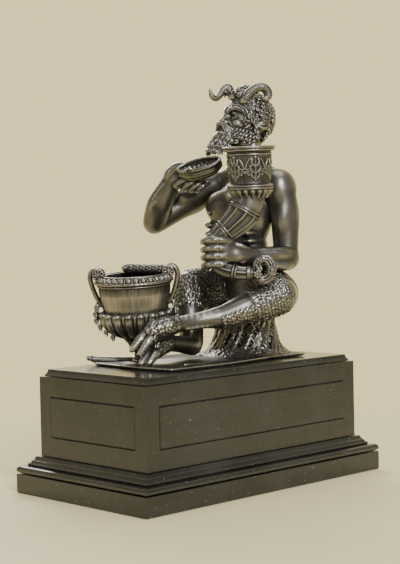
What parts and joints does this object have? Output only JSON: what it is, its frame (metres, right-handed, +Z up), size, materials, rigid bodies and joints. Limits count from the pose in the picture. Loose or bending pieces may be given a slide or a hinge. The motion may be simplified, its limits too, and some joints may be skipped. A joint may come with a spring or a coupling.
{
  "type": "faun statue",
  "caption": "Small bronze of a seated satyr holding a shell, a cornucopia candle holder and an urn, on a moulded wooden plinth.",
  "frame": {"origin": "middle of the plinth's underside", "axes": "+Z up; the satyr faces -X, along the plinth's long side, and his left side is -Y"},
  "size_m": [0.25, 0.1462, 0.3109],
  "materials": {
    "ebonised_wood": "polished, dark, with small knocks",
    "satyr_bronze": "dark lacquer patina, rubbed bright on the high places",
    "cornucopia_bronze": "dark lacquer patina, rubbed bright on the high places",
    "urn_bronze": "dark lacquer patina, rubbed bright on the high places"
  },
  "bodies": {
    "root": {"plinth_foot": "ebonised_wood", "plinth_moulding": "ebonised_wood", "plinth_die": "ebonised_wood", "plinth_cap": "ebonised_wood", "satyr": "satyr_bronze", "cornucopia_candle_holder": "cornucopia_bronze", "urn": "urn_bronze"}
  },
  "joints": []
}
